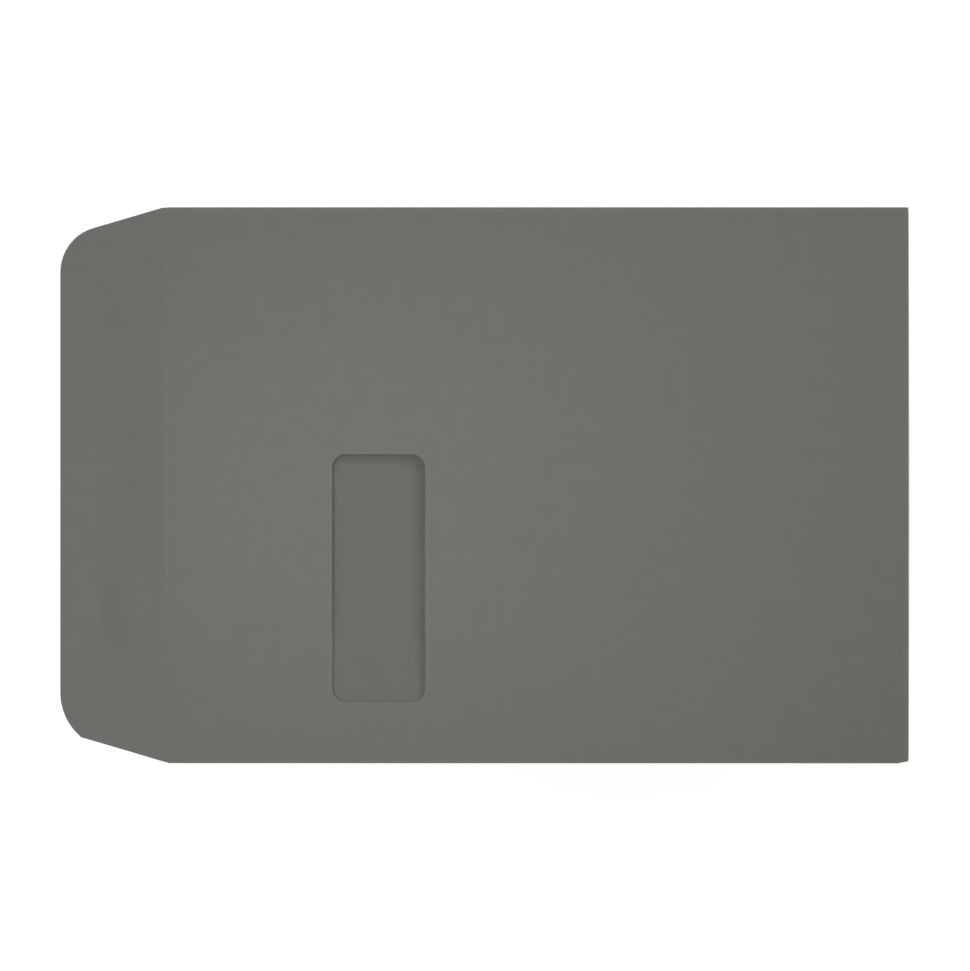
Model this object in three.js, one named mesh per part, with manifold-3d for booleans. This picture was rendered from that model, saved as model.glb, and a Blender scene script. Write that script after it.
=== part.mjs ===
// Open-end window envelope: one folded sheet of paper, and a clear film glued behind its window.
// It lies on its back with the seal flap opened out. X runs from the flap to the closed end, Y across
// the envelope, and Z up from the surface that it lies on. All sizes are in millimetres.

import * as THREE from 'three';
import { mergeVertices } from 'three/addons/utils/BufferGeometryUtils.js';
import Module from 'manifold-3d';

const wasm = await Module();
wasm.setup();

// Envelope
const BODY_LENGTH = 304.8; // crease of the seal flap to the closed end
const BODY_WIDTH = 228.6; // side fold to side fold
const PAPER = 0.15; // thickness of the paper
const GLUE_LINE = 0.03; // between two layers that are glued or pressed together
const FOLD_ROUND = 0.1; // rounding of the outside of a fold

// Seal flap, opened out past the mouth
const FLAP_REACH = 44; // crease to outer edge, seen from above
const FLAP_TAPER = THREE.MathUtils.degToRad(16.3); // of its two ends, from the body's long edges
const FLAP_RADIUS_TOP = 19; // corner at +Y
const FLAP_RADIUS_LOW = 24; // corner at -Y, which meets its taper in a blunt point
const FLAP_BLUNT = 35.3; // crease to that blunt point
const SHOULDER_TOP = 1.3; // how far past the crease the taper starts at +Y
const SHOULDER_LOW = -1; // the same at -Y, where it starts just inside the body
const FLAP_CURL = 1.35; // 1 is a straight slope down to the table, more flattens the outer edge

// Pocket: the front panel arches over the back one, most of all at the mouth
const MOUTH_GAP = 5.6; // front to back panel at the middle of the crease
const END_GAP = 0.6; // the same at the closed end, which isn't pressed quite flat
const ARCH_POWER = 2.5; // 2 is a parabola across the envelope, more has a flatter top
const FALL_POWER = 2.5; // the same along the envelope, down to the closed end

// Window, cut through the front panel
const WINDOW_WIDTH = 38.1; // along X
const WINDOW_LENGTH = 101.6; // along Y
const WINDOW_FROM_CREASE = 68.1;
const WINDOW_FROM_SIDE = 25.4; // from the side fold at -Y
const WINDOW_RADIUS = 5.5;

// Film patch glued behind the window
const FILM = 0.04; // thickness
const FILM_MARGIN = 8; // border round the window

// Back: two side panels that overlap at a seam, and the bottom flap glued over their ends
const SEAM_OVERLAP = 16;
const LAYER_RAMP = 6; // run in which a layer comes down beside the one that it lies on
const SEAM_FADE = 20; // run in which the front panel comes down from over the seam
const THROAT_DEPTH = 12; // crease to the side panels' edges at the mouth
const THROAT_INSET = 3; // side fold to where those edges start
const THROAT_RUN = 14; // across the envelope, of their slanted ends
const THROAT_RADIUS = 7;
const BOTTOM_FLAP = 40; // depth
const BOTTOM_SHOULDER = 1.5; // set in from the side folds at its own fold
const BOTTOM_TAPER = THREE.MathUtils.degToRad(18);
const BOTTOM_RADIUS = 12;
const NICK_RUN = 3.8; // small slanted cut at the closed end's corner at -Y, along X
const NICK_RISE = 0.7; // the same along Y

// Facets
const STEP_X = 24;
const STEP_Y = 14;
const FLAP_STEP = 11;
const ARC_STEPS = 8;

// Places worked out from the sizes
const FAR_X = (BODY_LENGTH + FLAP_REACH) / 2; // closed end
const CREASE_X = FAR_X - BODY_LENGTH;
const OUTER_X = -FAR_X; // the seal flap's outer edge
const SIDE_Y = BODY_WIDTH / 2;
const EDGE_Y = SIDE_Y - PAPER; // inside of the side folds
const WALL_X = FAR_X - PAPER; // inside of the fold at the closed end
const LAYER = PAPER + GLUE_LINE;
const SEAM_Y = SEAM_OVERLAP / 2;
const LIFT_X = FAR_X - BOTTOM_FLAP; // the back panel lies on the bottom flap from here on
const CLEAR = 1; // how far a cutting prism runs past what it cuts

const windowX = [CREASE_X + WINDOW_FROM_CREASE, CREASE_X + WINDOW_FROM_CREASE + WINDOW_WIDTH];
const windowY = [-SIDE_Y + WINDOW_FROM_SIDE, -SIDE_Y + WINDOW_FROM_SIDE + WINDOW_LENGTH];
const filmX = [windowX[0] - FILM_MARGIN, windowX[1] + FILM_MARGIN];
const filmY = [windowY[0] - FILM_MARGIN, windowY[1] + FILM_MARGIN];

// Heights of the layers

/** 0 before from, 1 past to, and even in between. */
const ramp = (value, from, to) => THREE.MathUtils.clamp((value - from) / (to - from), 0, 1);

/** Height of the back's outer face, which climbs onto the bottom flap near the closed end. */
const lift = (x) => LAYER * ramp(x, LIFT_X - LAYER_RAMP, LIFT_X);

/** How open the pocket is at a point: most at the middle of the crease, shut at the side folds. */
function pocketGap(x, y) {
  const along = 1 - ramp(x, CREASE_X, FAR_X) ** FALL_POWER;
  const across = 1 - Math.abs(y / SIDE_Y) ** ARCH_POWER;
  return (END_GAP + (MOUTH_GAP - END_GAP) * along) * across;
}

/** Height of the front panel's underside, which also rides over the seam of the back. */
function frontUnder(x, y) {
  const fadeFrom = SEAM_Y + LAYER_RAMP;
  const overSeam = 1 - ramp(Math.abs(y), fadeFrom, fadeFrom + SEAM_FADE);
  return lift(x) + LAYER * (1 + overSeam) + pocketGap(x, y);
}

const frontOver = (x, y) => frontUnder(x, y) + PAPER;

/** Height of the seal flap's underside, from the crease down to the table. */
function flapUnder(x, y) {
  return frontUnder(CREASE_X, y) * (1 - ramp(x, CREASE_X, OUTER_X)) ** FLAP_CURL;
}

const flapOver = (x, y) => flapUnder(x, y) + PAPER;

// Solids

/** Rising stops that pass through the given values, no further apart than step. */
function stops(through, step) {
  const marks = [...through].sort((a, b) => a - b);
  const list = [marks[0]];
  for (let i = 1; i < marks.length; i += 1) {
    const span = marks[i] - marks[i - 1];
    const parts = Math.ceil(span / step);
    for (let k = 1; k < parts; k += 1) list.push(marks[i - 1] + (span * k) / parts);
    if (span > 0) list.push(marks[i]);
  }
  return list;
}

const within = (list, [low, high]) => list.filter((value) => value >= low && value <= high);

function solidFrom(geometry) {
  geometry.deleteAttribute('normal');
  geometry.deleteAttribute('uv');
  const merged = mergeVertices(geometry);
  const vertProperties = Float32Array.from(merged.attributes.position.array);
  const triVerts = Uint32Array.from(merged.index.array);
  return new wasm.Manifold(new wasm.Mesh({ numProp: 3, vertProperties, triVerts }));
}

/** A closed body through a ring of [y, z] points at each x, the ring anticlockwise as +X sees it. */
function loft(xs, ringAt) {
  const rings = xs.map(ringAt);
  const count = rings[0].length;
  const positions = rings.flatMap((ring, i) => ring.flatMap(([y, z]) => [xs[i], y, z]));
  const index = [];
  for (let i = 0; i + 1 < xs.length; i += 1) {
    for (let j = 0; j < count; j += 1) {
      const [a, b] = [i * count + j, i * count + ((j + 1) % count)];
      const [c, d] = [b + count, a + count];
      // every face splits the same way in plan, so that two layers stay parallel
      const rising = positions[3 * b + 1] > positions[3 * a + 1];
      index.push(...(rising ? [a, b, c, a, c, d] : [a, b, d, b, c, d]));
    }
  }
  const endFaces = (i) => {
    const outline = rings[i].map(([y, z]) => new THREE.Vector2(y, z));
    const faces = THREE.ShapeUtils.triangulateShape(outline, []);
    return faces.map((face) => face.map((corner) => i * count + corner));
  };
  index.push(...endFaces(xs.length - 1).flat());
  index.push(...endFaces(0).flatMap((face) => face.reverse()));
  const geometry = new THREE.BufferGeometry();
  geometry.setAttribute('position', new THREE.Float32BufferAttribute(positions, 3));
  geometry.setIndex(index);
  return solidFrom(geometry);
}

/** A layer of material between two heights, with its own stops along X and Y. */
function layer(xs, ys, under, over) {
  return loft(xs, (x) => [
    ...ys.map((y) => [y, under(x, y)]),
    ...ys.toReversed().map((y) => [y, over(x, y)]),
  ]);
}

/** An upright prism of an outline drawn in plan. */
function prism(shape, low, high) {
  const depth = high - low;
  const geometry = new THREE.ExtrudeGeometry(shape, { depth, bevelEnabled: false, curveSegments: ARC_STEPS });
  return solidFrom(geometry.translate(0, 0, low));
}

/** An outline through [x, y, radius] corners, in anticlockwise order, each rounded to its radius. */
function roundedShape(corners) {
  const shape = new THREE.Shape();
  corners.forEach(([x, y, radius], i) => {
    const here = new THREE.Vector2(x, y);
    const toward = ([nextX, nextY]) => new THREE.Vector2(nextX, nextY).sub(here).normalize();
    const back = toward(corners.at(i - 1));
    const ahead = toward(corners[(i + 1) % corners.length]);
    const half = back.angleTo(ahead) / 2;
    const start = here.clone().addScaledVector(back, radius / Math.tan(half));
    if (i === 0) shape.moveTo(start.x, start.y);
    if (radius > 0) {
      const end = here.clone().addScaledVector(ahead, radius / Math.tan(half));
      const centre = back.clone().add(ahead).setLength(radius / Math.sin(half)).add(here);
      const [from, to] = [start.sub(centre).angle(), end.sub(centre).angle()];
      shape.absarc(centre.x, centre.y, radius, from, to, back.cross(ahead) > 0);
    } else if (i > 0) {
      shape.lineTo(x, y);
    }
  });
  return shape;
}

// Outlines in plan

/** The sheet seen from above: the seal flap's true outline, and the nick at the closed end. */
function planShape() {
  const slope = Math.tan(FLAP_TAPER);
  const [farX, topY] = [FAR_X + CLEAR, SIDE_Y + CLEAR];
  const shoulderTop = CREASE_X - SHOULDER_TOP;
  const shoulderLow = CREASE_X - SHOULDER_LOW;

  const topX = OUTER_X + FLAP_RADIUS_TOP;
  const taperOffset = FLAP_RADIUS_TOP / Math.cos(FLAP_TAPER);
  const topCentreY = SIDE_Y - (shoulderTop - topX) * slope - taperOffset;

  const lowX = OUTER_X + FLAP_RADIUS_LOW;
  const bluntX = CREASE_X - FLAP_BLUNT;
  const bluntY = -SIDE_Y + (shoulderLow - bluntX) * slope;
  const bluntAngle = Math.acos((lowX - bluntX) / FLAP_RADIUS_LOW);
  const lowCentreY = bluntY + FLAP_RADIUS_LOW * Math.sin(bluntAngle);

  const shape = new THREE.Shape();
  shape.moveTo(FAR_X - NICK_RUN * (1 + CLEAR / NICK_RISE), -topY);
  shape.lineTo(farX, -SIDE_Y + NICK_RISE * (1 + CLEAR / NICK_RUN));
  shape.lineTo(farX, topY);
  shape.lineTo(shoulderTop + CLEAR / slope, topY);
  shape.absarc(topX, topCentreY, FLAP_RADIUS_TOP, Math.PI / 2 + FLAP_TAPER, Math.PI);
  shape.absarc(lowX, lowCentreY, FLAP_RADIUS_LOW, Math.PI, Math.PI + bluntAngle);
  shape.lineTo(shoulderLow + CLEAR / slope, -topY);
  return shape;
}

function windowShape() {
  return roundedShape([
    [windowX[0], windowY[0], WINDOW_RADIUS],
    [windowX[1], windowY[0], WINDOW_RADIUS],
    [windowX[1], windowY[1], WINDOW_RADIUS],
    [windowX[0], windowY[1], WINDOW_RADIUS],
  ]);
}

/** What is cut out of the side panels at the mouth. */
function throatShape() {
  const startY = SIDE_Y - THROAT_INSET;
  const deepX = CREASE_X + THROAT_DEPTH;
  return roundedShape([
    [CREASE_X - CLEAR, -startY, 0],
    [CREASE_X, -startY, 0],
    [deepX, THROAT_RUN - startY, THROAT_RADIUS],
    [deepX, startY - THROAT_RUN, THROAT_RADIUS],
    [CREASE_X, startY, 0],
    [CREASE_X - CLEAR, startY, 0],
  ]);
}

function bottomFlapShape() {
  const foldY = EDGE_Y - BOTTOM_SHOULDER;
  const freeY = foldY - BOTTOM_FLAP * Math.tan(BOTTOM_TAPER);
  return roundedShape([
    [WALL_X, -foldY, 0],
    [WALL_X, foldY, 0],
    [LIFT_X, freeY, BOTTOM_RADIUS],
    [LIFT_X, -freeY, BOTTOM_RADIUS],
  ]);
}

// Folded sheet

const seamMarks = [SEAM_Y + LAYER_RAMP, SEAM_Y + LAYER_RAMP + SEAM_FADE];
const seamStops = seamMarks.flatMap((y) => [-y, y]);
const frontYs = stops([-EDGE_Y, ...seamStops, ...filmY, EDGE_Y], STEP_Y);
const bodyXs = stops([CREASE_X, ...filmX, LIFT_X - LAYER_RAMP, LIFT_X, WALL_X], STEP_X);

/** Section of the body: a ribbon from the outer side panel round the front to the inner one. */
function bodyRing(x) {
  const base = lift(x);
  const outerPanel = [
    [-EDGE_Y, base],
    [SEAM_Y, base],
    [SEAM_Y, base + PAPER],
    [-EDGE_Y, base + PAPER],
  ];
  const innerPanel = [
    [EDGE_Y, base + PAPER],
    [SEAM_Y + LAYER_RAMP, base + PAPER],
    [SEAM_Y, base + LAYER + PAPER],
    [-SEAM_Y, base + LAYER + PAPER],
    [-SEAM_Y, base + LAYER],
    [SEAM_Y, base + LAYER],
    [SEAM_Y + LAYER_RAMP, base],
    [EDGE_Y, base],
  ];
  const foldLow = base + FOLD_ROUND;
  const foldHigh = base + LAYER + PAPER - FOLD_ROUND;
  return [
    ...outerPanel,
    ...frontYs.map((y) => [y, frontUnder(x, y)]),
    ...innerPanel,
    [SIDE_Y, foldLow],
    [SIDE_Y, foldHigh],
    ...frontYs.toReversed().map((y) => [y, frontOver(x, y)]),
    [-SIDE_Y, foldHigh],
    [-SIDE_Y, foldLow],
  ];
}

/** The fold at the closed end, which joins the front panel to the bottom flap. */
function bottomFold() {
  const rounding = (x) => FOLD_ROUND * ramp(x, FAR_X - FOLD_ROUND, FAR_X);
  return layer(
    [WALL_X, FAR_X - FOLD_ROUND, FAR_X],
    frontYs,
    (x) => rounding(x),
    (x, y) => frontOver(WALL_X, y) - rounding(x),
  );
}

/** Clears the mouth of the side panels, up to halfway between the back and the front panel. */
function throatCut() {
  const halfway = (x, y) => frontUnder(x, y) - pocketGap(x, y) / 2;
  const xs = [CREASE_X - CLEAR, CREASE_X, CREASE_X + THROAT_DEPTH + CLEAR];
  const block = layer(xs, frontYs, () => -CLEAR, halfway);
  return block.intersect(prism(throatShape(), -2 * CLEAR, MOUTH_GAP));
}

/** Cuts the front panel alone, from halfway up the lowest gap beside the window. */
function windowCut() {
  const corners = windowX.flatMap((x) => windowY.map((y) => pocketGap(x, y)));
  const floor = 2 * LAYER + Math.min(...corners) / 2;
  return prism(windowShape(), floor, MOUTH_GAP + 3 * LAYER + CLEAR);
}

function sheetSolid() {
  const body = loft(bodyXs, bodyRing);
  const flapYs = [-SIDE_Y, ...frontYs, SIDE_Y];
  const sealFlap = layer(stops([OUTER_X, CREASE_X], FLAP_STEP), flapYs, flapUnder, flapOver);
  const bottomFlap = prism(bottomFlapShape(), 0, PAPER);
  const folded = body.add(sealFlap).add(bottomFold()).add(bottomFlap);
  const plan = prism(planShape(), -CLEAR, MOUTH_GAP + 3 * LAYER + CLEAR);
  return folded.subtract(throatCut()).subtract(windowCut()).intersect(plan);
}

// Window film, parallel to the front panel and a glue line below it

function filmSolid() {
  const top = (x, y) => frontUnder(x, y) - GLUE_LINE;
  const under = (x, y) => top(x, y) - FILM;
  return layer(within(bodyXs, filmX), within(frontYs, filmY), under, top);
}

// Scene graph

function namedMesh(name, solid, material) {
  const { vertProperties, triVerts } = solid.getMesh();
  const geometry = new THREE.BufferGeometry();
  geometry.setAttribute('position', new THREE.Float32BufferAttribute(vertProperties, 3));
  geometry.setIndex(Array.from(triVerts));
  geometry.computeVertexNormals();
  const mesh = new THREE.Mesh(geometry, material);
  mesh.name = name;
  return mesh;
}

const paper = new THREE.MeshStandardMaterial({ color: 0x74726e, roughness: 0.85, metalness: 0 });
const film = new THREE.MeshStandardMaterial({
  color: 0xf0f2f2,
  roughness: 0.12,
  metalness: 0,
  transparent: true,
  opacity: 0.15,
});

const envelope = new THREE.Group();
envelope.add(namedMesh('folded_sheet', sheetSolid(), paper));
envelope.add(namedMesh('window_film', filmSolid(), film));

export default envelope;
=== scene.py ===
"""Looks of the window envelope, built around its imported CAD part.

The envelope is one die-cut sheet of paper. Its flat blank is drawn here and a node tree folds it, by the
same heights as the CAD solids. A second tree lays the clear film behind the window. Lengths are in metres.
"""

import logging
import math
from dataclasses import dataclass, field
from enum import Enum

import bpy
import numpy as np
from mathutils.geometry import delaunay_2d_cdt
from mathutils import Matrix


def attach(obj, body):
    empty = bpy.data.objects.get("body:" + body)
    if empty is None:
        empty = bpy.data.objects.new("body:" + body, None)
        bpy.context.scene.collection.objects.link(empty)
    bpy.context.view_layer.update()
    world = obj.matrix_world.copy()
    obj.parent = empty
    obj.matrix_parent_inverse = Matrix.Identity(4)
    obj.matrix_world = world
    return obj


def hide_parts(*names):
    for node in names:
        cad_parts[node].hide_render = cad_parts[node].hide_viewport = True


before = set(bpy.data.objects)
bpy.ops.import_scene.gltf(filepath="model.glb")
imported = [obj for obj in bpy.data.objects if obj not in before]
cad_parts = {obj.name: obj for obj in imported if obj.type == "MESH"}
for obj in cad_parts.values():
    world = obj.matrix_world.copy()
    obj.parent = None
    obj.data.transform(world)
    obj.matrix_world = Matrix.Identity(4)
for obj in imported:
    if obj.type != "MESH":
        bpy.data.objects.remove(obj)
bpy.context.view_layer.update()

LOG = logging.getLogger("envelope")
BODY = "root"
MM = 0.001
WHITE = (1.0, 1.0, 1.0, 1.0)
CRISP = math.radians(50)  # an edge whose faces turn by more is shaded sharp
MERGED = 2e-7  # points of a finished sheet nearer to each other than this are one
MERGED_MM = 1e-5  # the same while the flat blank is cut, in millimetres
NO_LENGTH = 1e-18  # a side whose squared length is less has none

Point = tuple[float, float]
Band = tuple[float, float]  # where something starts and where it ends


class Slot(Enum):
    """The record's material slots."""

    PAPER = "paper"
    FILM = "film"


class Trait(Enum):
    """Point attributes that a flat sheet carries into its tree and its material."""

    RELIEF = "relief"
    FOLD = "fold_wear"
    EDGE = "edge_wear"
    GUM = "gum"
    UNDERSIDE = "underside"


def linear(code: str) -> tuple[float, float, float, float]:
    """Turn an sRGB hex colour into linear light.

    Args:
        code: Colour as "#rrggbb".

    Returns:
        Linear red, green and blue, and an alpha of 1.
    """
    channels = [int(code[i : i + 2], 16) / 255 for i in (1, 3, 5)]
    light = [c / 12.92 if c <= 0.04045 else ((c + 0.055) / 1.055) ** 2.4 for c in channels]
    return (*light, 1.0)


def add_node(
    tree: bpy.types.NodeTree, kind: str, inputs: dict | None = None, **settings: object
) -> bpy.types.Node:
    """Add a node with its settings, constants and links.

    Args:
        tree: Tree that the node goes into.
        kind: The node's class name.
        inputs: Socket name or number to a constant or to the output that feeds it.
        **settings: Properties of the node itself.

    Returns:
        The new node.
    """
    node = tree.nodes.new(kind)
    for name, value in settings.items():
        setattr(node, name, value)
    for key, value in (inputs or {}).items():
        if isinstance(value, bpy.types.NodeSocket):
            tree.links.new(value, node.inputs[key])
        else:
            node.inputs[key].default_value = value
    return node


def emptied(owner: bpy.types.ID) -> bpy.types.NodeTree:
    """Turn on the nodes of a material or a world, and take out those that it starts with.

    Args:
        owner: The material or world.

    Returns:
        Its node tree, with nothing in it.
    """
    owner.use_nodes = True
    owner.node_tree.nodes.clear()
    return owner.node_tree


def seen_straight(tree: bpy.types.NodeTree) -> bpy.types.NodeSocket:
    """Tell what is seen, straight or in a reflection or through something clear, from what only lights.

    Args:
        tree: Tree that the nodes go into.

    Returns:
        Output that is 1 for rays of sight and 0 for other light.
    """
    rays = add_node(tree, "ShaderNodeLightPath").outputs
    seen = rays["Is Camera Ray"]
    for name in ("Is Glossy Ray", "Is Transmission Ray"):
        seen = add_node(tree, "ShaderNodeMath", {0: seen, 1: rays[name]}, operation="MAXIMUM").outputs[0]
    return seen


def new_tree(name: str, sizes: dict[str, float], gives: tuple[str, ...] = ()) -> bpy.types.NodeTree:
    """Start a geometry node tree with named sizes as its inputs.

    Args:
        name: Name of the tree.
        sizes: Named input to its value.
        gives: Names of the numbers that it gives. With none it takes and gives a mesh.

    Returns:
        The tree, with its sockets and no nodes.
    """
    tree = bpy.data.node_groups.new(name, "GeometryNodeTree")
    if not gives:
        for way in ("INPUT", "OUTPUT"):
            tree.interface.new_socket("Geometry", in_out=way, socket_type="NodeSocketGeometry")
    for label, value in sizes.items():
        socket = tree.interface.new_socket(label, in_out="INPUT", socket_type="NodeSocketFloat")
        socket.default_value = value
    for label in gives:
        tree.interface.new_socket(label, in_out="OUTPUT", socket_type="NodeSocketFloat")
    return tree


def store(mesh: bpy.types.Mesh, trait: Trait, values: np.ndarray) -> None:
    """Store a trait at the points of a mesh.

    Args:
        mesh: The mesh.
        trait: The trait.
        values: Its value at each point.
    """
    layer = mesh.attributes.new(trait.value, "FLOAT", "POINT")
    layer.data.foreach_set("value", values.astype(np.float32))


def ramp(value: np.ndarray, low: float, high: float) -> np.ndarray:
    """Return 0 before low, 1 past high, and a straight rise in between."""
    return np.clip((value - low) / (high - low), 0.0, 1.0)


def smooth(share: np.ndarray) -> np.ndarray:
    """Ease a rise from 0 to 1 at both of its ends."""
    return share * share * (3 - 2 * share)


def fading(away: np.ndarray, width: float) -> np.ndarray:
    """Return 1 at no distance, falling off smoothly past a width."""
    return np.exp(-((away / width) ** 2))


def wave(x: np.ndarray, y: np.ndarray, turns: tuple[float, float, float]) -> np.ndarray:
    """Return a sine wave from its radians in a metre along X, in a metre along Y, and at the origin."""
    return np.sin(x * turns[0] + y * turns[1] + turns[2])


def bump_of(x: np.ndarray, y: np.ndarray, at: Point, reach: Point, turn: float) -> np.ndarray:
    """Return a smooth hill of height 1 at a point.

    Args:
        x: Places along the envelope.
        y: Places across it.
        at: Top of the hill.
        reach: Its half widths along its own two directions.
        turn: Angle of the first direction from +X, in degrees.

    Returns:
        Height of the hill at each place.
    """
    c, s = math.cos(math.radians(turn)), math.sin(math.radians(turn))
    dx, dy = x - at[0], y - at[1]
    u, v = (dx * c + dy * s) / reach[0], (dy * c - dx * s) / reach[1]
    return np.exp(-(u * u + v * v))


@dataclass(frozen=True)
class EnvelopeSizes:
    """Sizes of the envelope, the same as in the CAD part."""

    length: float = 304.8 * MM
    width: float = 228.6 * MM
    paper: float = 0.15 * MM
    glue_line: float = 0.03 * MM
    flap_reach: float = 44 * MM
    flap_taper: float = math.radians(16.3)
    flap_radius_top: float = 19 * MM
    flap_radius_low: float = 24 * MM
    flap_blunt: float = 35.3 * MM
    shoulder_top: float = 1.3 * MM
    shoulder_low: float = -1 * MM
    flap_curl: float = 1.35
    mouth_gap: float = 5.6 * MM
    end_gap: float = 0.6 * MM
    arch_power: float = 2.5
    fall_power: float = 2.5
    window_width: float = 38.1 * MM
    window_length: float = 101.6 * MM
    window_from_crease: float = 68.1 * MM
    window_from_side: float = 25.4 * MM
    window_radius: float = 5.5 * MM
    film: float = 0.04 * MM
    film_margin: float = 8 * MM
    seam_overlap: float = 16 * MM
    layer_ramp: float = 6 * MM
    seam_fade: float = 20 * MM
    throat_depth: float = 12 * MM
    throat_inset: float = 3 * MM
    throat_run: float = 14 * MM
    throat_radius: float = 7 * MM
    bottom_flap: float = 40 * MM
    bottom_shoulder: float = 1.5 * MM
    bottom_taper: float = math.radians(18)
    bottom_radius: float = 12 * MM
    nick_run: float = 3.8 * MM
    nick_rise: float = 0.7 * MM

    @property
    def far_x(self) -> float:
        """Return the closed end's place."""
        return (self.length + self.flap_reach) / 2

    @property
    def crease_x(self) -> float:
        """Return the place of the seal flap's crease."""
        return self.far_x - self.length

    @property
    def side_y(self) -> float:
        """Return the place of a side fold."""
        return self.width / 2

    @property
    def layer(self) -> float:
        """Return the rise from one layer of paper to the next."""
        return self.paper + self.glue_line

    @property
    def lift_x(self) -> float:
        """Return where the back has climbed onto the bottom flap."""
        return self.far_x - self.bottom_flap

    @property
    def seam_y(self) -> float:
        """Return the place of the side panels' free edges."""
        return self.seam_overlap / 2

    @property
    def bend(self) -> float:
        """Return the radius of a fold, at the middle of the paper."""
        return self.layer / 2

    @property
    def fold_y(self) -> float:
        """Return where the front panel starts to turn round a side fold."""
        return self.side_y - self.paper / 2 - self.bend

    @property
    def fold_x(self) -> float:
        """Return where the front panel starts to turn at the closed end."""
        return self.far_x - self.paper / 2 - self.bend

    @property
    def strip(self) -> float:
        """Return the flat width of the paper that a fold takes up."""
        return math.pi * self.bend

    @property
    def window_box(self) -> tuple[Point, Point]:
        """Return the window's lowest and highest corner in plan."""
        low = (self.crease_x + self.window_from_crease, -self.side_y + self.window_from_side)
        return low, (low[0] + self.window_width, low[1] + self.window_length)

    @property
    def film_box(self) -> tuple[Point, Point]:
        """Return the film patch's lowest and highest corner in plan."""
        (x0, y0), (x1, y1) = self.window_box
        m = self.film_margin
        return (x0 - m, y0 - m), (x1 + m, y1 + m)

    @property
    def height_sizes(self) -> dict[str, float]:
        """Return the named sizes that the front panel's height follows from."""
        return {
            "Mouth gap": self.mouth_gap,
            "End gap": self.end_gap,
            "Arch power": self.arch_power,
            "Fall power": self.fall_power,
            "Layer": self.layer,
            "Flap curl": self.flap_curl,
        }


@dataclass(frozen=True)
class Relief:
    """How the front panel and the seal flap depart from their smooth shape, in gentle dents and waves."""

    sizes: EnvelopeSizes
    swell: float = 0.22 * MM  # broad unevenness of the front panel
    swell_waves: tuple = ((46, 17, 0.6), (-9, 52, 1.1))  # the two waves that cross in it
    swell_starts: Band = (0, 30 * MM)  # from the crease, where the unevenness comes in
    swell_ends: Band = (90 * MM, 2 * MM)  # from the closed end, where it goes out
    side_power: float = 4  # more keeps the unevenness up nearer to the side folds
    score: float = 0.06 * MM  # depth of the pressed line at the flap's crease
    score_width: float = 0.7 * MM
    shoulder: float = 0.3 * MM  # how far the panel rolls down to the crease
    shoulder_width: float = 4.5 * MM
    sag: float = 0.5 * MM  # how far the seal flap sinks between its crease and its outer edge
    calm_outer: float = 9 * MM  # run at the flap's outer edge in which its dents come in
    calm_crease: Band = (10 * MM, 1 * MM)  # from the crease, where they go out
    calm_ends: Band = (94 * MM, 109 * MM)  # from the middle line, where they go out
    # each dent's middle, half widths along and across, turn in degrees, and height
    front_dents: tuple = (
        ((-0.060, 0.040), (0.070, 0.050), 20, 0.20 * MM),
        ((0.020, -0.060), (0.060, 0.040), -15, -0.16 * MM),
        ((0.110, 0.050), (0.045, 0.050), 30, 0.14 * MM),
        ((-0.100, -0.070), (0.040, 0.030), 0, -0.15 * MM),
    )
    flap_dents: tuple = (
        ((-0.1475, 0.0740), (0.0070, 0.0150), 0, 0.85 * MM),
        ((-0.1450, 0.0570), (0.0110, 0.0026), 0, 0.45 * MM),
        ((-0.1660, 0.0890), (0.0120, 0.0024), 0, 0.60 * MM),
        ((-0.1600, 0.1050), (0.0250, 0.0120), 0, 0.90 * MM),
        ((-0.1390, 0.0920), (0.0080, 0.0150), 0, -0.55 * MM),
        ((-0.1430, 0.0270), (0.0060, 0.0100), 0, 0.50 * MM),
        ((-0.1500, 0.0040), (0.0100, 0.0120), 0, -0.90 * MM),
        ((-0.1590, -0.0550), (0.0080, 0.0350), 0, -0.75 * MM),
        ((-0.1475, -0.0520), (0.0070, 0.0150), 0, 0.90 * MM),
        ((-0.1400, -0.0230), (0.0080, 0.0100), 0, -0.35 * MM),
    )

    def height(self, x: np.ndarray, y: np.ndarray) -> np.ndarray:
        """Return the height to add at places in plan.

        Args:
            x: Places along the envelope.
            y: Places across it.

        Returns:
            Height at each place, nothing at the folds.
        """
        s = self.sizes
        across = np.clip(1 - (np.abs(y) / s.fold_y) ** self.side_power, 0, 1)
        starts = ramp(x, s.crease_x + self.swell_starts[0], s.crease_x + self.swell_starts[1])
        ends = ramp(x, s.far_x - self.swell_ends[0], s.far_x - self.swell_ends[1])
        front = smooth(starts * (1 - ends)) * across
        rim = ramp(x, -s.far_x, -s.far_x + self.calm_outer) * (1 - ramp(np.abs(y), *self.calm_ends))
        near = ramp(x, s.crease_x - self.calm_crease[0], s.crease_x - self.calm_crease[1])
        flap = smooth(rim * (1 - near))

        first, second = self.swell_waves
        total = front * self.swell * (wave(x, y, first) * wave(x, y, second))
        for part, dents in ((front, self.front_dents), (flap, self.flap_dents)):
            for at, reach, turn, rise in dents:
                total = total + part * rise * bump_of(x, y, at, reach, turn)
        total = total - self.sag * np.sin(np.pi * ramp(x, -s.far_x, s.crease_x)) ** 2

        past = x - s.crease_x
        roll = np.where(past > 0, fading(past, self.shoulder_width), 1 - ramp(-past, 0, s.flap_reach))
        return total - self.shoulder * (roll * across) - self.score * fading(past, self.score_width)


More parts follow.
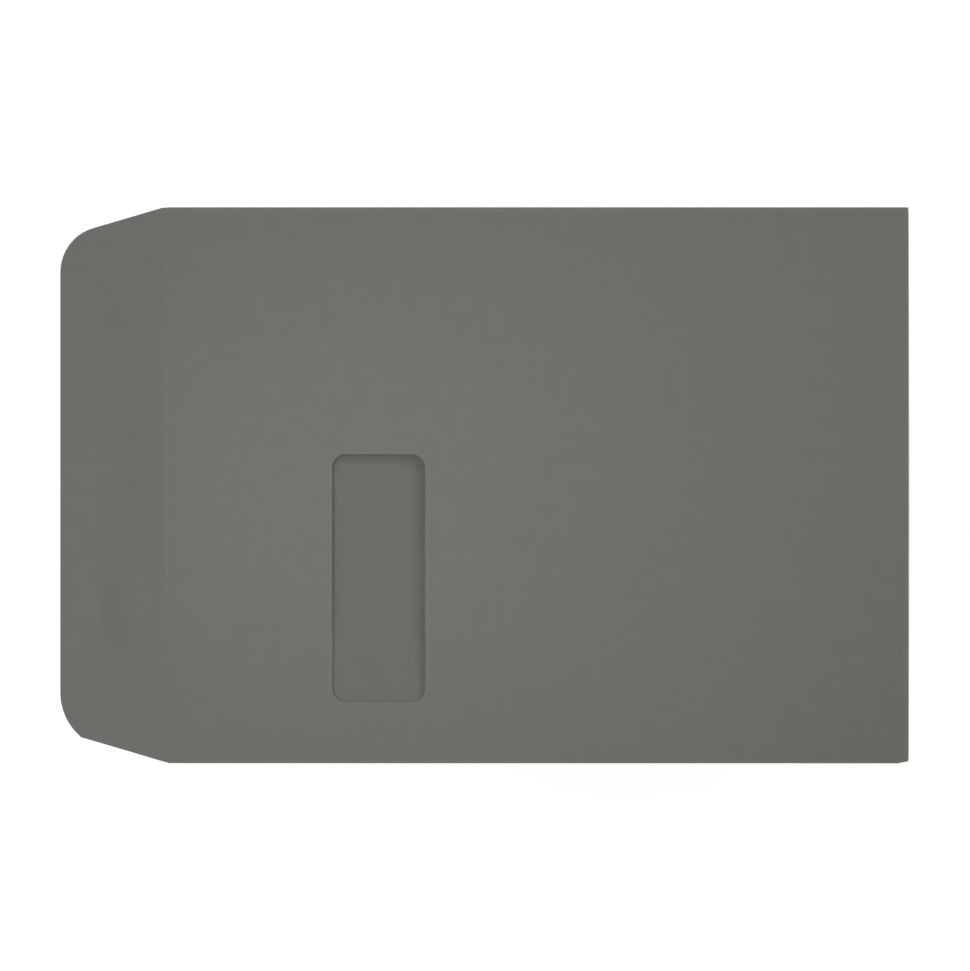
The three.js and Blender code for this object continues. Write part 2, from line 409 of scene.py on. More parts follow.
@dataclass(frozen=True)
class PaperFinish:
    """Uncoated text paper, dyed a dark warm grey in the pulp and pressed on a plain machine felt.

    The fibres give it a faint cloud when seen from near, a dull face with no gleam, and a few stray flecks.
    A band of dried gum on the flap's underside is a little darker and glossier.
    """

    name: str = "uncoated_text_paper"
    colour: str = "#74726e"
    cloud: str = "#6e6c68"
    light_fibre: str = "#868480"
    dark_fleck: str = "#5c5a55"
    worn: str = "#7d7b77"
    gummed: str = "#6b6860"
    cloud_mm: float = 7.0
    cloud_noise: Band = (0.35, 0.65)  # from clear to cloudy
    cloud_share: float = 0.3
    tooth_mm: float = 0.9  # the real tooth is about 0.15 mm, too fine to show, so it is drawn coarser
    tooth_noise: Band = (0.3, 0.7)  # from smooth to rough
    tooth_height: float = 0.6  # beside a fibre's height
    fibre_mm: float = 2.2
    fibre_crowd: float = 2.4  # fibres side by side in their own length
    fibre_stretch: float = 0.22  # how much slower the pattern changes along them
    fibre_noise: Band = (0.56, 0.72)  # from ground to fibre
    fibre_share: float = 0.1
    fleck_mm: float = 8.0
    fleck_radius: float = 0.045  # of the flecks' spacing
    fleck_missing: float = 0.62  # share of the places that have no fleck
    fleck_share: float = 0.55
    roughness: Band = (0.8, 0.92)
    gum_gloss: float = 0.5  # how much less rough the gum is
    bump: float = 0.22
    bump_height: float = 0.05 * MM
    specular: float = 0.3
    sheen: float = 0.05
    sheen_roughness: float = 0.6

    def build(self, span_mm: float) -> bpy.types.Material:
        """Make the material.

        Args:
            span_mm: Millimetres along one unit of the sheet's own UV map.

        Returns:
            The paper's material.
        """
        material = bpy.data.materials.new(self.name)
        tree = emptied(material)
        sheet = add_node(tree, "ShaderNodeUVMap", uv_map=FoldedSheet.UV_NAME).outputs[0]
        cloud = add_node(
            tree,
            "ShaderNodeTexNoise",
            {"Vector": sheet, "Scale": span_mm / self.cloud_mm, "Detail": 3.0, "Roughness": 0.55},
        ).outputs[0]
        tooth = add_node(
            tree,
            "ShaderNodeTexNoise",
            {"Vector": sheet, "Scale": span_mm / self.tooth_mm, "Detail": 2.0, "Roughness": 0.6},
        ).outputs[0]
        stretched = add_node(
            tree, "ShaderNodeMapping", {"Vector": sheet, "Scale": (self.fibre_stretch, 1.0, 1.0)}
        ).outputs[0]
        fibre_scale = span_mm / self.fibre_mm * self.fibre_crowd
        fibre = add_node(
            tree,
            "ShaderNodeTexNoise",
            {"Vector": stretched, "Scale": fibre_scale, "Detail": 3.0, "Distortion": 0.8},
        ).outputs[0]
        fold, edge, gum = (
            add_node(tree, "ShaderNodeAttribute", attribute_name=trait.value).outputs["Fac"]
            for trait in (Trait.FOLD, Trait.EDGE, Trait.GUM)
        )

        # a fleck in some of the cells, half of them light and half dark
        cells = add_node(
            tree,
            "ShaderNodeTexVoronoi",
            {"Vector": sheet, "Scale": span_mm / self.fleck_mm, "Randomness": 1.0},
        ).outputs
        spot = add_node(
            tree,
            "ShaderNodeMapRange",
            {"Value": cells["Distance"], 1: 0.0, 2: self.fleck_radius, 3: 1.0, 4: 0.0},
            interpolation_type="SMOOTHSTEP",
        ).outputs[0]
        drawn = add_node(tree, "ShaderNodeSeparateColor", {0: cells["Color"]}).outputs
        chosen = add_node(
            tree, "ShaderNodeMath", {0: drawn[0], 1: self.fleck_missing}, operation="GREATER_THAN"
        ).outputs[0]
        pale = add_node(tree, "ShaderNodeMath", {0: drawn[1], 1: 0.5}, operation="GREATER_THAN").outputs[0]
        fleck = add_node(tree, "ShaderNodeMath", {0: spot, 1: chosen}, operation="MULTIPLY").outputs[0]
        fleck = add_node(
            tree, "ShaderNodeMath", {0: fleck, 1: self.fleck_share}, operation="MULTIPLY"
        ).outputs[0]
        speck = add_node(
            tree,
            "ShaderNodeMix",
            {0: pale, 6: linear(self.dark_fleck), 7: linear(self.light_fibre)},
            data_type="RGBA",
        ).outputs[2]

        # the colour, each layer over the one before
        cloudy = add_node(
            tree,
            "ShaderNodeMapRange",
            {"Value": cloud, 1: self.cloud_noise[0], 2: self.cloud_noise[1], 3: 0.0, 4: self.cloud_share},
        ).outputs[0]
        light = add_node(
            tree,
            "ShaderNodeMapRange",
            {"Value": fibre, 1: self.fibre_noise[0], 2: self.fibre_noise[1], 3: 0.0, 4: self.fibre_share},
            interpolation_type="SMOOTHSTEP",
        ).outputs[0]
        rubbed = add_node(tree, "ShaderNodeMath", {0: fold, 1: edge}, operation="MAXIMUM").outputs[0]
        rubbed = add_node(tree, "ShaderNodeMath", {0: rubbed, 1: cloud}, operation="MULTIPLY").outputs[0]
        base = linear(self.colour)
        for share, top in (
            (cloudy, linear(self.cloud)),
            (light, linear(self.light_fibre)),
            (fleck, speck),
            (rubbed, linear(self.worn)),
            (gum, linear(self.gummed)),
        ):
            base = add_node(
                tree, "ShaderNodeMix", {0: share, 6: base, 7: top}, data_type="RGBA"
            ).outputs[2]

        dull = add_node(
            tree,
            "ShaderNodeMapRange",
            {
                "Value": tooth,
                1: self.tooth_noise[0],
                2: self.tooth_noise[1],
                3: self.roughness[0],
                4: self.roughness[1],
            },
        ).outputs[0]
        glaze = add_node(tree, "ShaderNodeMath", {0: gum, 1: self.gum_gloss}, operation="MULTIPLY").outputs[0]
        rough = add_node(tree, "ShaderNodeMath", {0: dull, 1: glaze}, operation="SUBTRACT").outputs[0]
        deep = add_node(
            tree, "ShaderNodeMath", {0: tooth, 1: self.tooth_height, 2: fibre}, operation="MULTIPLY_ADD"
        ).outputs[0]
        relief = add_node(
            tree, "ShaderNodeBump", {"Strength": self.bump, "Distance": self.bump_height, "Height": deep}
        ).outputs[0]
        shader = add_node(
            tree,
            "ShaderNodeBsdfPrincipled",
            {
                "Base Color": base,
                "Roughness": rough,
                "Normal": relief,
                "Specular IOR Level": self.specular,
                "Sheen Weight": self.sheen,
                "Sheen Roughness": self.sheen_roughness,
            },
        ).outputs[0]
        add_node(tree, "ShaderNodeOutputMaterial", {"Surface": shader})
        return material


@dataclass(frozen=True)
class FilmFinish:
    """Clear polystyrene window film, cast and glossy.

    It shows the paper behind it under a faint grey haze, partly real haze and partly painted sheen, thicker
    in slanting streaks of painted glare; seen edge on it turns whiter, partly from its gloss and partly from
    painted sheen.
    """

    name: str = "polystyrene_window_film"
    # grey of the haze, lightened to stand in for the film's reflection: partly painted sheen
    colour: str = "#868684"
    haze_and_sheen: float = 0.028
    # more haze in the streaks: painted glare
    streak_sheen: float = 0.065
    streak_mm: float = 12.0
    streak_stretch: float = 3.2
    streak_turn: float = math.radians(-58)
    streak_noise: Band = (0.44, 0.64)  # from clear to streaked
    # opacity seen edge on: more of the real gloss, and the film's grey as a painted sheen
    edge_on_sheen: float = 0.55
    edge_blend: float = 0.25
    edge_facing: Band = (0.04, 0.65)  # from seen straight to seen edge on
    roughness: Band = (0.14, 0.26)
    rough_noise: Band = (0.3, 0.7)  # from glossy to dull
    ior: float = 1.59

    def build(self) -> bpy.types.Material:
        """Make the material.

        Returns:
            The material, ready to be given to a mesh.
        """
        material = bpy.data.materials.new(self.name)
        tree = emptied(material)
        place = add_node(tree, "ShaderNodeTexCoord").outputs["Object"]
        turned = add_node(
            tree,
            "ShaderNodeMapping",
            {"Vector": place, "Rotation": (0, 0, self.streak_turn), "Scale": (self.streak_stretch, 1.0, 1.0)},
            vector_type="TEXTURE",
        ).outputs[0]
        streak = add_node(
            tree,
            "ShaderNodeTexNoise",
            {"Vector": turned, "Scale": 1 / (self.streak_mm * MM), "Detail": 2.0, "Roughness": 0.5},
        ).outputs[0]
        # the film's grey haze, thicker in slanting streaks: partly real haze, partly painted sheen and
        # painted glare
        haze_and_sheen = add_node(
            tree,
            "ShaderNodeMapRange",
            {
                "Value": streak,
                1: self.streak_noise[0],
                2: self.streak_noise[1],
                3: self.haze_and_sheen,
                4: self.streak_sheen,
            },
            interpolation_type="SMOOTHSTEP",
        ).outputs[0]
        # seen edge on the film grows more opaque: its gloss shows more, and its grey lays a painted sheen
        # over the paper
        facing = add_node(tree, "ShaderNodeLayerWeight", {"Blend": self.edge_blend}).outputs["Facing"]
        grazing_sheen = add_node(
            tree,
            "ShaderNodeMapRange",
            {"Value": facing, 1: self.edge_facing[0], 2: self.edge_facing[1], 3: 0.0, 4: self.edge_on_sheen},
        ).outputs[0]
        alpha = add_node(tree, "ShaderNodeMath", {0: haze_and_sheen, 1: grazing_sheen}, operation="MAXIMUM").outputs[0]
        rough = add_node(
            tree,
            "ShaderNodeMapRange",
            {
                "Value": streak,
                1: self.rough_noise[0],
                2: self.rough_noise[1],
                3: self.roughness[0],
                4: self.roughness[1],
            },
        ).outputs[0]
        shader = add_node(
            tree,
            "ShaderNodeBsdfPrincipled",
            {"Base Color": linear(self.colour), "Roughness": rough, "IOR": self.ior, "Alpha": alpha},
        ).outputs[0]
        add_node(tree, "ShaderNodeOutputMaterial", {"Surface": shader})
        return material


@dataclass(frozen=True)
class HeightRule:
    """The front panel's height over the table, as a node group that the sheet and the film share."""

    sizes: EnvelopeSizes
    name: str = "front_panel_height"

    def build(self) -> bpy.types.NodeTree:
        """Make the node group.

        Returns:
            A group from X and Y, and from its named sizes, to the height of the panel's underside and of
            the back's outer face.
        """
        s = self.sizes
        tree = new_tree(self.name, {"X": 0.0, "Y": 0.0, **s.height_sizes}, ("Under", "Lift"))
        given = add_node(tree, "NodeGroupInput").outputs

        # the back climbs by one layer onto the bottom flap
        lift = add_node(
            tree,
            "ShaderNodeMapRange",
            {"Value": given["X"], 1: s.lift_x - s.layer_ramp, 2: s.lift_x, 3: 0.0, 4: given["Layer"]},
        ).outputs[0]

        # the room between back and front shrinks towards the closed end and the side folds
        along = add_node(
            tree, "ShaderNodeMapRange", {"Value": given["X"], 1: s.crease_x, 2: s.far_x, 3: 0.0, 4: 1.0}
        ).outputs[0]
        along = add_node(
            tree, "ShaderNodeMath", {0: along, 1: given["Fall power"]}, operation="POWER"
        ).outputs[0]
        gap = add_node(
            tree, "ShaderNodeMapRange", {"Value": along, 3: given["Mouth gap"], 4: given["End gap"]}
        ).outputs[0]
        aside = add_node(tree, "ShaderNodeMath", {0: given["Y"]}, operation="ABSOLUTE").outputs[0]
        across = add_node(
            tree, "ShaderNodeMapRange", {"Value": aside, 1: 0.0, 2: s.side_y, 3: 0.0, 4: 1.0}
        ).outputs[0]
        across = add_node(
            tree, "ShaderNodeMath", {0: across, 1: given["Arch power"]}, operation="POWER"
        ).outputs[0]
        across = add_node(tree, "ShaderNodeMath", {0: 1.0, 1: across}, operation="SUBTRACT").outputs[0]
        gap = add_node(tree, "ShaderNodeMath", {0: gap, 1: across}, operation="MULTIPLY").outputs[0]

        # below that room lie two layers at the seam and one beside it
        seam_end = s.seam_y + s.layer_ramp
        layers = add_node(
            tree,
            "ShaderNodeMapRange",
            {"Value": aside, 1: seam_end, 2: seam_end + s.seam_fade, 3: 2.0, 4: 1.0},
            interpolation_type="SMOOTHSTEP",
        ).outputs[0]
        stack = add_node(
            tree, "ShaderNodeMath", {0: layers, 1: given["Layer"]}, operation="MULTIPLY"
        ).outputs[0]
        under = add_node(tree, "ShaderNodeMath", {0: stack, 1: gap}, operation="ADD").outputs[0]
        under = add_node(tree, "ShaderNodeMath", {0: under, 1: lift}, operation="ADD").outputs[0]

        # the seal flap falls from the crease to the table
        fall = add_node(
            tree, "ShaderNodeMapRange", {"Value": given["X"], 1: -s.far_x, 2: s.crease_x, 3: 0.0, 4: 1.0}
        ).outputs[0]
        fall = add_node(
            tree, "ShaderNodeMath", {0: fall, 1: given["Flap curl"]}, operation="POWER"
        ).outputs[0]
        under = add_node(tree, "ShaderNodeMath", {0: under, 1: fall}, operation="MULTIPLY").outputs[0]
        add_node(tree, "NodeGroupOutput", {"Under": under, "Lift": lift})
        return tree


def end_as_sheet(
    tree: bpy.types.NodeTree,
    mesh: bpy.types.NodeSocket,
    thickness: bpy.types.NodeSocket,
    material: bpy.types.Material,
) -> None:
    """Give a sheet its thickness, half to each side of it, and end its tree.

    The points of its underside are marked, so that a finish can tell the two faces apart.

    Args:
        tree: Tree that the nodes go into.
        mesh: Output with the sheet's mesh.
        thickness: Output with the thickness.
        material: The sheet's material.
    """
    normal = add_node(tree, "GeometryNodeInputNormal").outputs[0]
    half = add_node(tree, "ShaderNodeMath", {0: thickness, 1: -0.5}, operation="MULTIPLY").outputs[0]
    down = add_node(tree, "ShaderNodeVectorMath", {0: normal, "Scale": half}, operation="SCALE").outputs[0]
    low = add_node(tree, "GeometryNodeSetPosition", {"Geometry": mesh, "Offset": down}).outputs[0]
    upper = add_node(
        tree,
        "GeometryNodeExtrudeMesh",
        {"Mesh": low, "Offset Scale": thickness, "Individual": False},
        mode="FACES",
    ).outputs[0]
    turned = add_node(tree, "GeometryNodeFlipFaces", {"Mesh": low}).outputs[0]
    marked = add_node(
        tree,
        "GeometryNodeStoreNamedAttribute",
        {"Geometry": turned, "Name": Trait.UNDERSIDE.value, "Value": 1.0},
        data_type="FLOAT",
        domain="POINT",
    ).outputs[0]
    join = add_node(tree, "GeometryNodeJoinGeometry")
    for face in (upper, marked):
        tree.links.new(face, join.inputs[0])
    closed = add_node(
        tree, "GeometryNodeMergeByDistance", {"Geometry": join.outputs[0], "Distance": MERGED}
    ).outputs[0]
    real = add_node(tree, "GeometryNodeRealizeInstances", {0: closed}).outputs[0]
    dressed = add_node(
        tree, "GeometryNodeSetMaterial", {"Geometry": real, "Material": material}
    ).outputs[0]
    add_node(tree, "NodeGroupOutput", {"Geometry": dressed})


def made_by_tree(
    flat: bpy.types.Mesh, tree: bpy.types.NodeTree, sizes: dict[str, float], name: str
) -> bpy.types.Object:
    """Run a tree on a flat mesh and keep its result as a plain mesh.

    Args:
        flat: Mesh that the tree starts from.
        tree: Geometry node tree.
        sizes: Named input to its value.
        name: Name of the finished piece.

    Returns:
        The piece, at the origin, with no modifier left.
    """
    source = bpy.data.objects.new(name + "_flat", flat)
    bpy.context.scene.collection.objects.link(source)
    modifier = source.modifiers.new("rule", "NODES")
    modifier.node_group = tree
    for item in tree.interface.items_tree:
        if item.item_type == "SOCKET" and item.in_out == "INPUT" and item.name in sizes:
            modifier[item.identifier] = sizes[item.name]
    depsgraph = bpy.context.evaluated_depsgraph_get()
    mesh = bpy.data.meshes.new_from_object(source.evaluated_get(depsgraph), depsgraph=depsgraph)
    bpy.data.objects.remove(source)
    mesh.name = name
    mesh.polygons.foreach_set("use_smooth", [True] * len(mesh.polygons))
    mesh.set_sharp_from_angle(angle=CRISP)
    piece = bpy.data.objects.new(name, mesh)
    bpy.context.scene.collection.objects.link(piece)
    return piece


def rounded(corners: list[tuple[float, float, float]], arc_steps: int = 10) -> list[Point]:
    """Round the corners of an anticlockwise outline.

    Args:
        corners: Each corner's two places and its radius.
        arc_steps: Segments in each rounded corner.

    Returns:
        The outline's points.
    """
    points: list[Point] = []
    for i, (x, y, radius) in enumerate(corners):
        here = np.array([x, y])
        if radius <= 0:
            points.append((x, y))
            continue
        back = np.array(corners[i - 1][:2]) - here
        ahead = np.array(corners[(i + 1) % len(corners)][:2]) - here
        back, ahead = back / np.linalg.norm(back), ahead / np.linalg.norm(ahead)
        half = math.acos(float(np.clip(back @ ahead, -1, 1))) / 2
        centre = here + (back + ahead) / np.linalg.norm(back + ahead) * radius / math.sin(half)
        start = here + back * radius / math.tan(half) - centre
        end = here + ahead * radius / math.tan(half) - centre
        first = math.atan2(start[1], start[0])
        sweep = (math.atan2(end[1], end[0]) - first + math.pi) % (2 * math.pi) - math.pi
        for k in range(arc_steps + 1):
            angle = first + sweep * k / arc_steps
            points.append((centre[0] + radius * math.cos(angle), centre[1] + radius * math.sin(angle)))
    return points


def divided(points: list[Point], step: float) -> np.ndarray:
    """Divide a closed outline's long sides.

    Args:
        points: The outline's points.
        step: Longest side that may stay.

    Returns:
        The outline's points, one row each.
    """
    rows: list[np.ndarray] = []
    loop = np.array(points)
    for a, b in zip(loop, np.roll(loop, -1, axis=0)):
        parts = max(1, math.ceil(np.linalg.norm(b - a) / step))
        rows.extend(a + (b - a) * k / parts for k in range(parts))
    return np.array(rows)


def inside(points: np.ndarray, loops: list[np.ndarray]) -> np.ndarray:
    """Tell which points lie inside a set of loops, a loop within another being a hole.

    Args:
        points: One point to a row.
        loops: Each loop's points, one to a row.

    Returns:
        True for each point that is inside.
    """
    odd = np.zeros(len(points), bool)
    x, y = points[:, 0], points[:, 1]
    for loop in loops:
        for (x0, y0), (x1, y1) in zip(loop, np.roll(loop, -1, axis=0)):
            if y0 == y1:
                continue
            crosses = (y >= min(y0, y1)) & (y < max(y0, y1))
            odd ^= crosses & (x < x0 + (y - y0) * (x1 - x0) / (y1 - y0))
    return odd


def distance_to(points: np.ndarray, loops: list[np.ndarray]) -> np.ndarray:
    """Measure how far points lie from the nearest side of a set of loops.

    Args:
        points: One point to a row.
        loops: Each loop's points, one to a row.

    Returns:
        Each point's distance.
    """
    best = np.full(len(points), np.inf)
    for loop in loops:
        for a, b in zip(loop, np.roll(loop, -1, axis=0)):
            side = b - a
            share = np.clip(((points - a) @ side) / max(side @ side, NO_LENGTH), 0, 1)
            best = np.minimum(best, np.linalg.norm(points - a - share[:, None] * side, axis=1))
    return best


@dataclass
class FoldedSheet:
    """The die-cut sheet of paper, with front, side panels, bottom flap and seal flap."""

    sizes: EnvelopeSizes
    relief: Relief
    height: bpy.types.NodeTree
    panel_gap: float = 0.6 * MM  # from the side panels' ends to the closed end
    step: float = 2.6 * MM  # of the blank's grid
    least_step: float = 0.02 * MM
    fold_parts: int = 8
    blunt_parts: int = 14  # of the arc at the flap's blunt corner
    score_lines_mm: tuple = (-1.6, -0.8, -0.4, 0, 0.4, 0.8, 1.6)  # grid lines beside the crease
    edge_clear: float = 0.45  # of the step, how near the outline a grid point may lie
    fold_clear: float = 0.12 * MM  # the same within a fold
    least_area: float = 1e-13  # twice that of the smallest triangle that stays
    fold_wear: float = 0.8 * MM
    crease_wear: float = 0.9 * MM
    crease_worn: float = 0.12  # beside a fold's wear
    edge_wear: float = 0.5 * MM
    edge_worn: float = 0.25
    gum_band: Band = (8 * MM, 33 * MM)  # from the flap's outer edge
    gum_ends: float = 92 * MM
    gum_fade: float = 1 * MM
    loops: list[np.ndarray] = field(default_factory=list)

    UV_NAME = "blank"

    @property
    def free_edge(self) -> float:
        """Return how far from the middle line a side panel's free edge lies on the flat blank."""
        return 2 * self.sizes.fold_y + self.sizes.strip + self.sizes.seam_y

    @property
    def span(self) -> float:
        """Return the blank's longer side."""
        return 2 * self.free_edge

    @property
    def named_sizes(self) -> dict[str, float]:
        """Return the sizes that the fold tree takes by name."""
        s = self.sizes
        return {
            "Fold place Y": s.fold_y,
            "Fold place X": s.fold_x,
            "Bend radius": s.bend,
            "Paper": s.paper,
            **s.height_sizes,
        }

    def on_blank(self, y: float) -> float:
        """Return where a place across the back, counted from the middle, lies on the flat blank."""
        return 2 * self.sizes.fold_y + self.sizes.strip - y

    def across_fold(self, x: float, start: float, way: int) -> list[tuple[float, float, float]]:
        """Return the outline's corners along a side fold's strip.

        Args:
            x: Place along the envelope.
            start: Place across it of the first corner.
            way: 1 towards +Y, -1 towards -Y.

        Returns:
            Each corner's two places and its radius, which is none.
        """
        n = self.fold_parts
        return [(x, start + way * self.sizes.strip * k / n, 0) for k in range(n + 1)]

    def outline(self) -> list[Point]:
        """Draw the blank's outer outline, anticlockwise, from the bottom flap round.

        Returns:
            The outline's points on the flat blank.
        """
        s = self.sizes
        slope = math.tan(s.flap_taper)
        fold, beyond = s.fold_y, s.fold_y + s.strip
        free_x = 2 * s.fold_x + s.strip - s.lift_x
        wide = s.side_y - s.paper - s.bottom_shoulder
        narrow = wide - s.bottom_flap * math.tan(s.bottom_taper)
        panel_end = s.far_x - self.panel_gap
        throat = s.crease_x + s.throat_depth
        near = self.on_blank(s.side_y - s.throat_inset)
        deep = self.on_blank(s.side_y - s.throat_inset - s.throat_run)
        thin = (s.side_y - fold) / slope
        top_x = s.crease_x - s.shoulder_top - thin
        low_x = s.crease_x - s.shoulder_low - thin
        corner_y = fold - (top_x + s.far_x) * slope
        blunt_x = s.crease_x - s.flap_blunt
        blunt_y = -fold + (low_x - blunt_x) * slope
        radius = s.flap_radius_low
        turn = math.acos((-s.far_x + radius - blunt_x) / radius)
        centre = (-s.far_x + radius, blunt_y + radius * math.sin(turn))
        upper = rounded(
            [
                (s.fold_x, -wide, 0),
                (free_x, -narrow, s.bottom_radius),
                (free_x, narrow, s.bottom_radius),
                (s.fold_x, wide, 0),
                (s.fold_x, fold, 0),
                *self.across_fold(panel_end, fold, 1),
                (panel_end, self.free_edge, 0),
                (throat, self.free_edge, 0),
                (throat, deep, s.throat_radius),
                (s.crease_x, near, 0),
                *self.across_fold(s.crease_x, beyond, -1),
                (top_x, fold, 0),
                (-s.far_x, corner_y, s.flap_radius_top),
                (-s.far_x, centre[1], 0),
            ]
        )
        arc = []
        for k in range(1, self.blunt_parts + 1):
            angle = math.pi + turn * k / self.blunt_parts
            arc.append((centre[0] + radius * math.cos(angle), centre[1] + radius * math.sin(angle)))
        lower = rounded(
            [
                *self.across_fold(low_x, -fold, -1),
                (low_x, -near, 0),
                (throat, -deep, s.throat_radius),
                (throat, -self.free_edge, 0),
                (panel_end, -self.free_edge, 0),
                (panel_end, -beyond - s.nick_rise, 0),
                *self.across_fold(s.far_x - s.nick_run, -beyond, 1),
                (s.fold_x, -fold + s.nick_rise, 0),
            ]
        )
        return upper + arc + lower

    def window(self) -> list[Point]:
        """Draw the window's outline.

        Returns:
            The outline's points on the flat blank.
        """
        (x0, y0), (x1, y1) = self.sizes.window_box
        r = self.sizes.window_radius
        return rounded([(x0, y0, r), (x1, y0, r), (x1, y1, r), (x0, y1, r)])

    def lines(self) -> tuple[np.ndarray, np.ndarray]:
        """Place the blank's grid lines, closer together in its folds and beside its crease.

        Returns:
            Their places along the blank and across it.
        """
        s = self.sizes
        parts = np.arange(self.fold_parts + 1) / self.fold_parts * s.strip
        along = [
            np.arange(-s.far_x, s.fold_x, self.step),
            s.crease_x + np.array(self.score_lines_mm) * MM,
            s.fold_x + parts,
            np.arange(s.fold_x + s.strip + self.step, s.fold_x + s.bottom_flap + self.step, self.step),
            np.array([s.lift_x - s.layer_ramp, s.lift_x]),
        ]
        half = [
            np.arange(0, s.fold_y, self.step),
            s.fold_y + parts,
            np.arange(s.fold_y + s.strip + self.step, self.free_edge, self.step),
            np.array([self.on_blank(s.seam_y), self.on_blank(s.seam_y + s.layer_ramp)]),
        ]
        across = np.concatenate(half)
        return self.thinned(np.concatenate(along)), self.thinned(np.concatenate([-across, across]))

    def thinned(self, values: np.ndarray) -> np.ndarray:
        """Drop grid lines that all but repeat the one before them."""
        values = np.sort(values)
        return values[np.concatenate([[True], np.diff(values) > self.least_step])]

    def blank(self) -> bpy.types.Mesh:
        """Cut the flat blank into triangles, with its traits and its UV map.

        Returns:
            The flat mesh.
        """
        s = self.sizes
        outer, hole = divided(self.outline(), self.step), divided(self.window(), self.step)
        self.loops = [outer, hole]
        xs, ys = self.lines()
        grid = np.stack(np.meshgrid(xs, ys, indexing="ij"), axis=-1).reshape(-1, 2)
        grid = grid[inside(grid, self.loops)]
        away = distance_to(grid, self.loops)
        half_fold = s.strip * 0.51  # a little more than half, so that a fold's own lines are in it
        in_fold = (np.abs(np.abs(grid[:, 1]) - s.fold_y - s.strip / 2) < half_fold) | (
            np.abs(grid[:, 0] - s.fold_x - s.strip / 2) < half_fold
        )
        grid = grid[np.where(in_fold, away > self.fold_clear, away > self.edge_clear * self.step)]
        points = np.concatenate([outer, hole, grid])
        edges = [(i, (i + 1) % len(outer)) for i in range(len(outer))]
        edges += [(len(outer) + i, len(outer) + (i + 1) % len(hole)) for i in range(len(hole))]
        verts, _, faces, _, _, _ = delaunay_2d_cdt([tuple(p / MM) for p in points], edges, [], 0, MERGED_MM)
        flat = np.array([tuple(v) for v in verts]) * MM
        faces = np.array([f for f in faces if len(f) == 3])
        faces = faces[inside(flat[faces].mean(axis=1), self.loops)]
        a, b, c = flat[faces[:, 0]], flat[faces[:, 1]], flat[faces[:, 2]]
        area = (b[:, 0] - a[:, 0]) * (c[:, 1] - a[:, 1]) - (b[:, 1] - a[:, 1]) * (c[:, 0] - a[:, 0])
        faces = np.where(area[:, None] > 0, faces, faces[:, ::-1])
        used, faces = np.unique(faces[np.abs(area) > self.least_area], return_inverse=True)
        flat, faces = flat[used], faces.reshape(-1, 3)

        mesh = bpy.data.meshes.new("envelope_blank")
        mesh.from_pydata([(x, y, 0.0) for x, y in flat], [], faces.tolist())
        self.set_traits(mesh, flat)
        uv = mesh.uv_layers.new(name=self.UV_NAME)
        corner = np.empty(len(mesh.loops), np.int32)
        mesh.loops.foreach_get("vertex_index", corner)
        uv.data.foreach_set("uv", (flat[corner] / self.span + 0.5).astype(np.float32).ravel())
        LOG.info("blank: %d points, %d triangles", len(flat), len(faces))
        return mesh

    def set_traits(self, mesh: bpy.types.Mesh, flat: np.ndarray) -> None:
        """Store each point's relief, wear and gum.

        Args:
            mesh: The flat mesh.
            flat: Its points in plan.
        """
        s = self.sizes
        x, y = flat[:, 0], flat[:, 1]
        front = (np.abs(y) <= s.fold_y) & (x <= s.fold_x)
        to_fold = np.minimum(
            np.abs(np.abs(y) - s.fold_y - s.strip / 2), np.abs(x - s.fold_x - s.strip / 2)
        )
        crease_wear = self.crease_worn * fading(np.abs(x - s.crease_x), self.crease_wear)
        edge_wear = fading(distance_to(flat, self.loops), self.edge_wear) * self.edge_worn
        from_outer, fade = x + s.far_x, self.gum_fade
        gum = ramp(from_outer, self.gum_band[0], self.gum_band[0] + fade)
        gum = gum * (1 - ramp(from_outer, self.gum_band[1], self.gum_band[1] + fade))
        gum = gum * (1 - ramp(np.abs(y), self.gum_ends, self.gum_ends + fade))
        store(mesh, Trait.RELIEF, np.where(front, self.relief.height(x, y), 0.0))
        store(mesh, Trait.FOLD, np.maximum(fading(to_fold, self.fold_wear), crease_wear))
        store(mesh, Trait.EDGE, edge_wear)
        store(mesh, Trait.GUM, gum)

    def fold_tree(self, material: bpy.types.Material) -> bpy.types.NodeTree:
        """Make the tree that folds the blank and gives it its thickness.

        Args:
            material: The paper's material.

        Returns:
            The tree, with its sizes as named inputs.
        """
        s = self.sizes
        tree = new_tree("folded_envelope", self.named_sizes)
        given = add_node(tree, "NodeGroupInput").outputs
        position = add_node(tree, "GeometryNodeInputPosition").outputs[0]
        flat = add_node(tree, "ShaderNodeSeparateXYZ", {0: position}).outputs
        bend = given["Bend radius"]
        strip = add_node(tree, "ShaderNodeMath", {0: bend, 1: math.pi}, operation="MULTIPLY").outputs[0]

